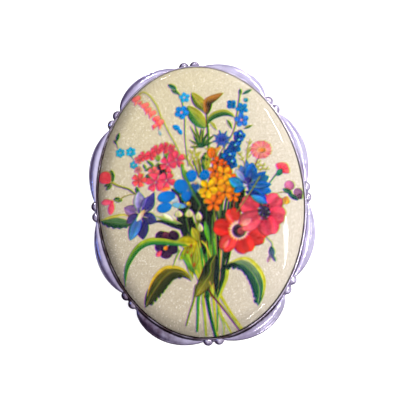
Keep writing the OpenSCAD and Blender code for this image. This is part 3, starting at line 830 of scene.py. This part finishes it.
class Looks:
    """A material of one Principled shader, with short ways to add what feeds it."""

    def __init__(self, name, colour, metallic=0.0, roughness=0.5, **more):
        self.material = bpy.data.materials.new(name)
        self.material.use_nodes = True
        self.nodes = self.material.node_tree.nodes
        self.links = self.material.node_tree.links
        self.shader = self.nodes["Principled BSDF"]
        self.set("Base Color", (*colour, 1.0))
        self.set("Metallic", metallic)
        self.set("Roughness", roughness)
        for key, value in more.items():
            self.set(key.replace("_", " ").title().replace("Ior", "IOR"), value)
        self.object_place = self.add("ShaderNodeTexCoord").outputs["Object"]

    def set(self, socket, value):
        self.shader.inputs[socket].default_value = value

    def add(self, kind, **settings):
        node = self.nodes.new(kind)
        for key, value in settings.items():
            setattr(node, key, value)
        return node

    def noise(self, scale, detail=3.0, stretch=(1, 1, 1)):
        """Noise with blots of about 1/scale metres."""
        mapping = self.add("ShaderNodeMapping")
        mapping.inputs["Scale"].default_value = stretch
        self.links.new(self.object_place, mapping.inputs["Vector"])
        node = self.add("ShaderNodeTexNoise")
        node.inputs["Scale"].default_value = scale
        node.inputs["Detail"].default_value = detail
        self.links.new(mapping.outputs["Vector"], node.inputs["Vector"])
        return node.outputs["Fac"]

    def flakes(self):
        """A random colour for each flake of pearl."""
        node = self.add("ShaderNodeTexVoronoi")
        node.inputs["Scale"].default_value = FLAKES
        self.links.new(self.object_place, node.inputs["Vector"])
        return node.outputs["Color"]

    def ramp(self, value, stops):
        node = self.add("ShaderNodeValToRGB")
        set_stops(node, stops)
        self.links.new(value, node.inputs["Fac"])
        return node.outputs["Color"]

    def mix(self, kind, share, a, b):
        node = self.add("ShaderNodeMix", data_type="RGBA", blend_type=kind)
        for socket, value in ((node.inputs[0], share), (node.inputs[6], a), (node.inputs[7], b)):
            if isinstance(value, bpy.types.NodeSocket):
                self.links.new(value, socket)
            else:
                socket.default_value = value
        return node.outputs[2]

    def bump(self, height, distance, strength=1.0):
        node = self.add("ShaderNodeBump")
        node.inputs["Strength"].default_value = strength
        node.inputs["Distance"].default_value = distance
        self.links.new(height, node.inputs["Height"])
        self.links.new(node.outputs["Normal"], self.shader.inputs["Normal"])

    def feed(self, value, socket):
        self.links.new(value, self.shader.inputs[socket])


def silver_looks(name, light, dark, roughness, hammer, tarnish_and_shade_colour=None, blot=260):
    """Plated metal: tarnish in soft blots, fine hammer marks, and roughness that wanders.

    Where the mesh has tarnish and shade values, the metal darkens in patches that follow them: tarnish, and
    painted shade where the values are painted by place.
    """
    looks = Looks(name, light, metallic=1.0, roughness=roughness)
    blots = looks.noise(blot, 4)
    colour = looks.ramp(blots, ((0.34, dark), (0.6, light)))
    # Tarnish and painted shade, from the mesh's values, blend in the dark tone
    if tarnish_and_shade_colour is not None:
        tarnish_and_shade = looks.add("ShaderNodeAttribute", attribute_name="tarnish_and_shade")
        patches = looks.ramp(looks.noise(420, 4), ((0.32, 0.7), (0.66, 1.25)))
        share = looks.mix("MULTIPLY", 1.0, tarnish_and_shade.outputs["Color"], patches)
        node = looks.add("ShaderNodeClamp")
        looks.links.new(share, node.inputs["Value"])
        colour = looks.mix("MIX", node.outputs["Result"], colour, (*tarnish_and_shade_colour, 1))
    looks.feed(colour, "Base Color")
    polish = looks.ramp(looks.noise(700, 3), ((0.3, roughness * 0.7), (0.75, roughness * 1.7)))
    looks.feed(polish, "Roughness")
    looks.bump(looks.noise(hammer[0], 2), hammer[1])
    return looks.material


FRAME_SILVER = silver_looks("frame_silver", (0.58, 0.545, 0.73), (0.42, 0.37, 0.55), 0.17, (1100, 0.00006),
                            tarnish_and_shade_colour=(0.07, 0.045, 0.075))
BEAD_SILVER = silver_looks("bead_silver", (0.64, 0.60, 0.76), (0.34, 0.29, 0.42), 0.1, (900, 0.0003),
                           tarnish_and_shade_colour=(0.09, 0.05, 0.08), blot=700)
BRIGHT_SILVER = silver_looks("bright_silver", (0.66, 0.62, 0.78), (0.44, 0.38, 0.52), 0.16, (1500, 0.00002),
                             tarnish_and_shade_colour=(0.06, 0.036, 0.04))
BODY_SILVER = silver_looks("body_silver", (0.72, 0.69, 0.80), (0.62, 0.58, 0.71), 0.2, (300, 0.000006),
                           blot=90)
INNER_PLATE = silver_looks("inner_plate", (0.78, 0.76, 0.80), (0.72, 0.69, 0.73), 0.28, (2500, 0.000003),
                           blot=120)


def print_looks():
    """The print on pearl enamel: bare paper carries painted glints, and ink is even."""
    looks = Looks("printed_pearl", (0.7, 0.6, 0.45), roughness=0.6)
    looks.set("Specular IOR Level", 0.0)
    printed = looks.add("ShaderNodeAttribute", attribute_name="print")
    flakes = looks.flakes()
    shade = looks.ramp(flakes, ((0.0, 0.8), (0.5, 0.97), (0.9, 1.05)))
    # Painted highlight: light specks in the bare paper's base colour stand in for glitter catching light
    painted_glint = looks.ramp(flakes, ((0.76, 0.0), (0.97, 0.38)))
    even = looks.mix("MIX", printed.outputs["Alpha"], (1, 1, 1, 1), shade)
    shaded = looks.mix("MULTIPLY", 1.0, printed.outputs["Color"], even)
    share = looks.mix("MULTIPLY", 1.0, printed.outputs["Alpha"], painted_glint)
    looks.feed(looks.mix("MIX", share, shaded, (0.84, 0.81, 0.77, 1)), "Base Color")
    return looks.material


def pearl_looks():
    """Bare pearl enamel."""
    looks = Looks("pearl_enamel", (0.6, 0.5, 0.36), roughness=0.35)
    cream = looks.ramp(looks.flakes(), ((0.0, (0.42, 0.35, 0.24)), (1.0, (0.66, 0.57, 0.42))))
    looks.feed(cream, "Base Color")
    return looks.material


def resin_looks(name, glossy):
    """Clear resin: see-through, and where it meets the air, with mirror gloss that grows towards the edge."""
    material = bpy.data.materials.new(name)
    material.use_nodes = True
    nodes, links = material.node_tree.nodes, material.node_tree.links
    nodes.remove(nodes["Principled BSDF"])
    through = nodes.new("ShaderNodeBsdfTransparent")
    through.inputs["Color"].default_value = (1, 1, 1, 1)
    seen = through.outputs["BSDF"]
    if glossy:
        gloss = nodes.new("ShaderNodeBsdfGlossy")
        gloss.inputs["Roughness"].default_value = 0.03
        edge = nodes.new("ShaderNodeFresnel")
        edge.inputs["IOR"].default_value = 1.27
        both = nodes.new("ShaderNodeMixShader")
        links.new(edge.outputs["Fac"], both.inputs["Fac"])
        links.new(seen, both.inputs[1])
        links.new(gloss.outputs["BSDF"], both.inputs[2])
        seen = both.outputs["Shader"]
    links.new(seen, nodes["Material Output"].inputs["Surface"])
    return material


def mirror_looks():
    """Silvered glass, a little dull in places."""
    looks = Looks("mirror_glass", (0.86, 0.88, 0.89), metallic=1.0, roughness=0.02)
    looks.feed(looks.ramp(looks.noise(120, 4), ((0.45, 0.015), (0.8, 0.07))), "Roughness")
    return looks.material


def fibre_looks(name, light, dark, scale, stretch):
    """Card or felt: short fibres, with a rough bump."""
    looks = Looks(name, light, roughness=0.9)
    fibres = looks.noise(scale, 5, stretch)
    looks.feed(looks.ramp(fibres, ((0.3, dark), (0.7, light))), "Base Color")
    looks.bump(fibres, 0.00008)
    return looks.material


CARD = fibre_looks("pressed_card", (0.60, 0.50, 0.38), (0.42, 0.33, 0.24), 1400, (1, 0.4, 1))
FELT = fibre_looks("adhesive_felt", (0.15, 0.15, 0.16), (0.07, 0.07, 0.08), 2600, (1, 1, 1))
PRINT = print_looks()
PEARL = pearl_looks()
CLEAR = resin_looks("clear_resin", True)
INNER_CLEAR = resin_looks("clear_resin_inner", False)
MIRROR = mirror_looks()

CAD_LOOKS = {
    "base_pan": BODY_SILVER, "base_collar": INNER_PLATE, "pill_divider": INNER_PLATE,
    "base_hinge": BODY_SILVER, "hinge_pin": BRIGHT_SILVER,
    "lid_band": BODY_SILVER, "lid_hinge": BODY_SILVER, "lid_plate": INNER_PLATE,
    "mirror_pad": FELT, "mirror_glass": MIRROR, "mirror_ring": BRIGHT_SILVER, "plaque_backing": CARD,
}
for node, looks in CAD_LOOKS.items():
    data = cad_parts[node].data
    if not data.materials:
        data.materials.append(looks)
    for index in range(len(data.materials)):
        data.materials[index] = looks


# ---------------------------------------------------------------- the domed picture
def square_to_oval(n):
    """A grid of (n + 1) by (n + 1) places on the unit disc, by squares within squares."""
    line = np.linspace(-1, 1, n + 1)
    a, b = np.meshgrid(line, line)
    wide = np.abs(a) > np.abs(b)
    r = np.where(wide, a, b)
    small = np.where(wide, b, a)
    angle = np.pi / 4 * small / np.where(np.abs(r) < 1e-9, 1, r)
    x = np.where(wide, r * np.cos(angle), r * np.sin(angle))
    y = np.where(wide, r * np.sin(angle), r * np.cos(angle))
    return x.ravel(), y.ravel()


def grid_border(n):
    """Numbers of the border places of such a grid, once round."""
    side = n + 1
    low = list(range(0, n))
    right = [n + side * k for k in range(n)]
    top = [side * side - 1 - k for k in range(n)]
    left = [side * (side - 1) - side * k for k in range(n)]
    return low + right + top + left


def grid_faces(n, start=0, flip=False):
    side = n + 1
    faces = []
    for j in range(n):
        for i in range(n):
            a = start + j * side + i
            quad = (a, a + 1, a + side + 1, a + side)
            faces.append(quad[::-1] if flip else quad)
    return faces


FINE, COARSE = 300, 60
COAT_COLUMNS = 256


def make_film():
    """The printed film: a fine top that holds the print, and a coarser underside."""
    fx, fy = square_to_oval(FINE)
    cx, cy = square_to_oval(COARSE)
    film_x, film_y = RIM_X - COAT_SIDE, RIM_Y - COAT_SIDE
    top_h = CROWN_H - COAT_T - 0.01
    rim = RIM_H - 0.05
    top = np.stack([film_x * fx, film_y * fy, SEAT_Z + crown(np.hypot(fx, fy), rim, top_h)], 1)
    under = np.stack([film_x * cx, film_y * cy, SEAT_Z + crown(np.hypot(cx, cy), rim, top_h) - FILM_T], 1)
    start = len(top)
    faces = grid_faces(FINE) + grid_faces(COARSE, start, True)
    outer, inner = grid_border(FINE), [start + k for k in grid_border(COARSE)]
    step = FINE // COARSE
    for k, low in enumerate(inner):
        ahead = inner[(k + 1) % len(inner)]
        chain = [outer[(k * step + i) % len(outer)] for i in range(step + 1)]
        faces += [(low, chain[i + 1], chain[i]) for i in range(step)]
        faces.append((low, ahead, chain[step]))
    points = np.vstack([top, under])
    film = piece("printed_film", points, faces, "lid", ["floral_print"], PRINT)
    paint_points(film, "print", print_colours(points[:, 0], points[:, 1]))
    return film


def turned(levels, columns):
    """Closed oval body from (half width, half length, height) levels, with flat ends filled."""
    t = np.linspace(0, 2 * np.pi, columns, endpoint=False)
    points = np.vstack([np.column_stack([oval(a, b, t), np.full(columns, z)]) for a, b, z in levels])
    faces = loop_faces(len(levels), columns, False)
    last = (len(levels) - 1) * columns
    faces.append(tuple(range(columns - 1, -1, -1)))
    faces.append(tuple(range(last, last + columns)))
    return points, faces


def dome_levels(half_x, half_y, rim, top_h, rows=40):
    """Levels of a domed body from its foot up to near its crown."""
    levels = [(half_x, half_y, SEAT_Z)]
    for k in range(rows):
        rho = math.cos(math.pi / 2 * k / rows) ** 0.75
        levels.append((half_x * rho, half_y * rho, SEAT_Z + float(crown(np.array(rho), rim, top_h))))
    return levels


def make_dome():
    """The enamel dome that the film lies on."""
    top_h = CROWN_H - COAT_T - 2 * FILM_T
    levels = dome_levels(RIM_X - 2 * COAT_SIDE, RIM_Y - 2 * COAT_SIDE, RIM_H - 0.15, top_h)
    points, faces = turned(levels, 128)
    return piece("pearl_dome", points, faces, "lid", ["picture_dome"], PEARL)


def make_coat():
    """The clear resin, a thin shell over the film."""
    outer = dome_levels(RIM_X, RIM_Y, RIM_H, CROWN_H, 64)
    inner = dome_levels(RIM_X - COAT_SIDE / 2, RIM_Y - COAT_SIDE / 2, RIM_H - 0.03,
                        CROWN_H - COAT_T + 0.02, 64)
    points, faces = turned(outer, COAT_COLUMNS)
    more, more_faces = turned(inner, COAT_COLUMNS)
    start = len(points)
    ahead = [(j + 1) % COAT_COLUMNS for j in range(COAT_COLUMNS)]
    foot = [(j, ahead[j], start + ahead[j], start + j) for j in range(COAT_COLUMNS)]
    flat = tuple(range(COAT_COLUMNS - 1, -1, -1))
    faces = [f for f in faces if f != flat]
    inside = [tuple(start + v for v in f[::-1]) for f in more_faces if f != flat]
    coat = piece("clear_resin", np.vstack([points, more]), faces + inside + [f[::-1] for f in foot],
                 "lid", ["clear_coat"], CLEAR)
    coat.data.materials.append(INNER_CLEAR)
    for index in range(len(faces), len(faces) + len(inside)):
        coat.data.polygons[index].material_index = 1
    return coat


make_dome()
make_film()
make_coat()


# ---------------------------------------------------------------- frame, bezel and beads
ROUND = 720
BRIM_START = 0.88


def make_frame():
    """The scalloped frame: pillow-shaped lobes that fall to a fine rolled border."""
    t = np.linspace(0, 360, ROUND, endpoint=False)
    turn = np.radians(t)
    lobe = swell(t)
    ledge = oval(LEDGE_X, LEDGE_Y, turn)
    bezel = oval(BEZEL_X, BEZEL_Y, turn)
    grow = 1 + LOBE_SWELL * lobe
    outline = oval(NOTCH_X * grow, NOTCH_Y * grow, turn)
    rows, tarnish_and_shade_values = [], []

    def row(flat, height, tarnish_and_shade=0.0):
        rows.append(np.column_stack([flat, np.broadcast_to(height, ROUND)]))
        tarnish_and_shade_values.append(np.broadcast_to(tarnish_and_shade, ROUND))

    row(ledge, FRAME_Z)
    row(ledge, SEAT_Z, 1.0)
    row(ledge + (bezel - ledge) * 0.9, SEAT_Z, 1.0)
    foot = SEAT_Z - 0.1 + 0.42 * lobe
    brim = SEAT_Z - 0.25 - 0.3 * lobe

    def arch(u):
        return foot + (brim - foot) * u ** 2.2 + 0.14 * lobe * np.sin(np.pi * u)

    # Painted shade round the lower left and the lower right, over a little even tarnish; the metal also
    # darkens next to the bezel and towards the rolled border
    frame_tarnish_and_shade = 0.1 + 0.88 * np.exp(-((t - 236) / 24) ** 2) + 0.42 * np.exp(-((t - 298) / 26) ** 2)
    for u in np.linspace(0, BRIM_START, 18):
        row(bezel + (outline - bezel) * u, arch(u), np.clip(frame_tarnish_and_shade + 0.4 * np.clip(1 - u * 6, 0, 1), 0, 1))
    drop = arch(BRIM_START)
    for k in range(1, 7):
        a = math.pi / 2 * k / 6
        u = BRIM_START + (1 - BRIM_START) * math.sin(a)
        fall = 0.3 * (1 - math.cos(a))
        row(bezel + (outline - bezel) * u, drop - fall, np.clip(frame_tarnish_and_shade + 0.1 * k / 6, 0, 1))
    row(outline, FRAME_Z + 0.12, 0.2)
    row(bezel + (outline - bezel) * 0.9, FRAME_Z)
    made = piece("scalloped_frame", np.vstack(rows), loop_faces(len(rows), ROUND), "lid", ["lid_frame"],
                 FRAME_SILVER)
    paint_tarnish_and_shade(made, np.concatenate(tarnish_and_shade_values))


def make_bezel():
    """A thin upright wall with a rounded top, a little tarnished, with painted shade that is deepest at the
    lower left and in the gap round the picture.
    """
    columns = 360
    t = np.linspace(0, 2 * np.pi, columns, endpoint=False)
    outer = oval(BEZEL_X, BEZEL_Y, t)
    inner = oval(RIM_X + SEAM, RIM_Y + SEAM, t)
    profile = [(0, SEAT_Z)]
    for a in np.linspace(0, math.pi, 11):
        profile.append((0.5 - 0.5 * math.cos(a), BEZEL_Z - 0.2 + 0.2 * math.sin(a)))
    profile += [(1, SEAT_Z)]
    rows = [np.column_stack([inner + (outer - inner) * share, np.full(columns, z)]) for share, z in profile]
    made = piece("bezel_wall", np.vstack(rows), [f[::-1] for f in loop_faces(len(profile), columns)], "lid",
                 ["bezel_ring"], BRIGHT_SILVER)
    # Painted shade: darker towards the lower left, over a little even tarnish
    tarnish_and_lower_left_shade = 0.2 + 0.75 * smooth_step(0.45 - 0.6 * np.cos(t) - 0.5 * np.sin(t))
    # Painted shade: darker down the inner side of the wall, in the gap round the picture, and at its outer
    # foot
    groove_shade = [0.4, 0.3, 0.2, 0.1] + [0.0] * 8 + [0.2]
    paint_tarnish_and_shade(made, np.concatenate([np.clip(tarnish_and_lower_left_shade + extra, 0, 1) for extra in groove_shade]))


def half_ball(columns=40, rows=20):
    """Half a ball, flat side in the plane x = 0, and closed there."""
    points = []
    for i in range(rows):
        a = math.pi / 2 * i / rows
        for j in range(columns):
            b = 2 * math.pi * j / columns
            points.append((math.sin(a), math.cos(a) * math.cos(b), math.cos(a) * math.sin(b)))
    faces = loop_faces(rows, columns, False)
    points.append((1, 0, 0))
    last = (rows - 1) * columns
    faces += [(last + j, last + (j + 1) % columns, len(points) - 1) for j in range(columns)]
    faces.append(tuple(range(columns - 1, -1, -1)))
    return np.array(points), faces


def make_beads():
    """Eight pairs of beads, each flat against the bezel's outer edge."""
    ball, ball_faces = half_ball()
    points, faces, tarnish_and_shade_values = [], [], []
    for pair in range(8):
        middle = math.radians(45 * pair - (45 - CORNER_ANGLE) * math.sin(math.pi / 2 * pair))
        for side in (-1, 1):
            reach = math.hypot(BEZEL_X * math.sin(middle), BEZEL_Y * math.cos(middle))
            t = middle + side * BEAD_PITCH / 2 / reach
            out = math.atan2(BEZEL_X * math.sin(t), BEZEL_Y * math.cos(t))
            c, s = math.cos(out), math.sin(out)
            local = ball * BEAD_R
            placed = np.stack([BEZEL_X * math.cos(t) + local[:, 0] * c - local[:, 1] * s,
                               BEZEL_Y * math.sin(t) + local[:, 0] * s + local[:, 1] * c,
                               np.maximum(SEAT_Z + BEAD_SINK + local[:, 2], SEAT_Z - 0.5)], 1)
            start = len(points) * len(ball)
            points.append(placed)
            # Painted shade: beads darken towards their feet on the frame and on the side that faces the lower
            # left, over a little even tarnish
            tarnish_and_shade_values.append(0.12 + 0.8 * np.clip((SEAT_Z + 0.3 - placed[:, 2]) / 0.5, 0, 1)
                        + 0.8 * float(smooth_step(-0.3 - 0.62 * c - 0.75 * s)))
            faces += [tuple(start + v for v in f) for f in ball_faces]
    made = piece("bead_pairs", np.vstack(points), faces, "lid", ["edge_beads"], BEAD_SILVER)
    paint_tarnish_and_shade(made, np.concatenate(tarnish_and_shade_values))


make_frame()
make_bezel()
make_beads()


# ---------------------------------------------------------------- light
def coat_normal(x, y):
    """Outward normal of the clear coat at a place in millimetres."""
    def height(px, py):
        return float(crown(np.array(math.hypot(px / RIM_X, py / RIM_Y)), RIM_H, CROWN_H))
    step = 0.02
    slope_x = (height(x + step, y) - height(x - step, y)) / (2 * step)
    slope_y = (height(x, y + step) - height(x, y - step)) / (2 * step)
    return Vector((-slope_x, -slope_y, 1)).normalized()


def mirrored(x, y):
    """Direction of what the camera sees mirrored in the coat at x, y."""
    h = float(crown(np.array(math.hypot(x / RIM_X, y / RIM_Y)), RIM_H, CROWN_H))
    place = Vector((x, y, SEAT_Z + h)) * MM
    to_eye = (eye - place).normalized()
    n = coat_normal(x, y)
    return (2 * n.dot(to_eye) * n - to_eye).normalized()


STRIP_AWAY = 0.6
SOFT_AWAY = 0.8


def area_light(name, direction, distance, long, wide, radiance, along=None, colour=(1, 1, 1)):
    """A soft rectangle of light, facing the object, its long side along a direction."""
    direction = Vector(direction).normalized()
    light = bpy.data.lights.new(name, "AREA")
    light.shape = "RECTANGLE"
    light.size = wide
    light.size_y = long
    light.energy = radiance * math.pi * long * wide
    light.color = colour
    made = bpy.data.objects.new(name, light)
    made.matrix_world = look(AIM + direction * distance, AIM, along or Vector((0, 1, 0.01)))
    bpy.context.scene.collection.objects.link(made)
    return made


def streak(name, start, end, wide, radiance):
    """A strip light that the camera sees mirrored in the coat from start to end."""
    a, b = mirrored(*start), mirrored(*end)
    long = (a - b).length * STRIP_AWAY
    area_light(name, a + b, STRIP_AWAY, long, wide, radiance, (a - b).normalized())


streak("strip_upper_right", (13.6, 18.3), (17.2, 10.3), 0.035, 80)
streak("strip_right", (16.3, -6.5), (15, -15.5), 0.035, 40)
streak("strip_low", (6.6, -24.8), (10.2, -22.2), 0.03, 70)
streak("strip_top", (-5.8, 25.1), (-3.8, 26), 0.03, 70)
streak("strip_top_right", (7.2, 25), (10.6, 22.6), 0.02, 50)
area_light("window_right", (1, 0.1, 0.55), STRIP_AWAY, 0.1, 0.07, 3)
area_light("window_low_right", (0.7, -0.8, 0.5), STRIP_AWAY, 0.16, 0.1, 2.5)
area_light("blue_left", (-1, 0.12, 0.5), STRIP_AWAY, 0.12, 0.1, 3, colour=(0.25, 0.45, 1))
key = area_light("key", (0.4, 0.15, 0.9), SOFT_AWAY, 0.5, 0.5, 3.2, colour=(1, 0.99, 0.97))
fill = area_light("fill", (-0.5, -0.4, 0.9), SOFT_AWAY, 0.5, 0.5, 1.3)
for soft in (key, fill):
    soft.visible_glossy = False

world = bpy.data.worlds.new("studio")
bpy.context.scene.world = world
world.use_nodes = True
nodes, links = world.node_tree.nodes, world.node_tree.links
place = nodes.new("ShaderNodeTexCoord")
toward = nodes.new("ShaderNodeVectorMath")
toward.operation = "DOT_PRODUCT"
toward.inputs[1].default_value = (0.44, 0.0, 0.45)
links.new(place.outputs["Generated"], toward.inputs[0])
raised = nodes.new("ShaderNodeMath")
raised.operation = "ADD"
raised.inputs[1].default_value = 0.5
links.new(toward.outputs["Value"], raised.inputs[0])
sky = nodes.new("ShaderNodeValToRGB")
set_stops(sky, ((0.1, (0.07, 0.045, 0.09)), (0.38, (0.42, 0.38, 0.52)),
                (0.62, (1.08, 1.06, 1.12)), (0.9, (1.3, 1.28, 1.32))))
links.new(raised.outputs["Value"], sky.inputs["Fac"])
links.new(sky.outputs["Color"], nodes["Background"].inputs["Color"])
nodes["Background"].inputs["Strength"].default_value = 1.0

floor_mesh = bpy.data.meshes.new("floor")
floor_mesh.from_pydata([(-2, -2, 0), (2, -2, 0), (2, 2, 0), (-2, 2, 0)], [], [(0, 1, 2, 3)])
floor = bpy.data.objects.new("floor", floor_mesh)
bpy.context.scene.collection.objects.link(floor)
floor_looks = Looks("floor", (0.95, 0.95, 0.95), roughness=0.9)
floor_looks.set("Specular IOR Level", 0.0)
floor_looks.set("Emission Color", (1, 1, 1, 1))
floor_looks.set("Emission Strength", 0.3)
floor_mesh.materials.append(floor_looks.material)
floor.visible_glossy = False

view = bpy.context.scene.view_settings
view.view_transform = "Standard"
view.look = "None"
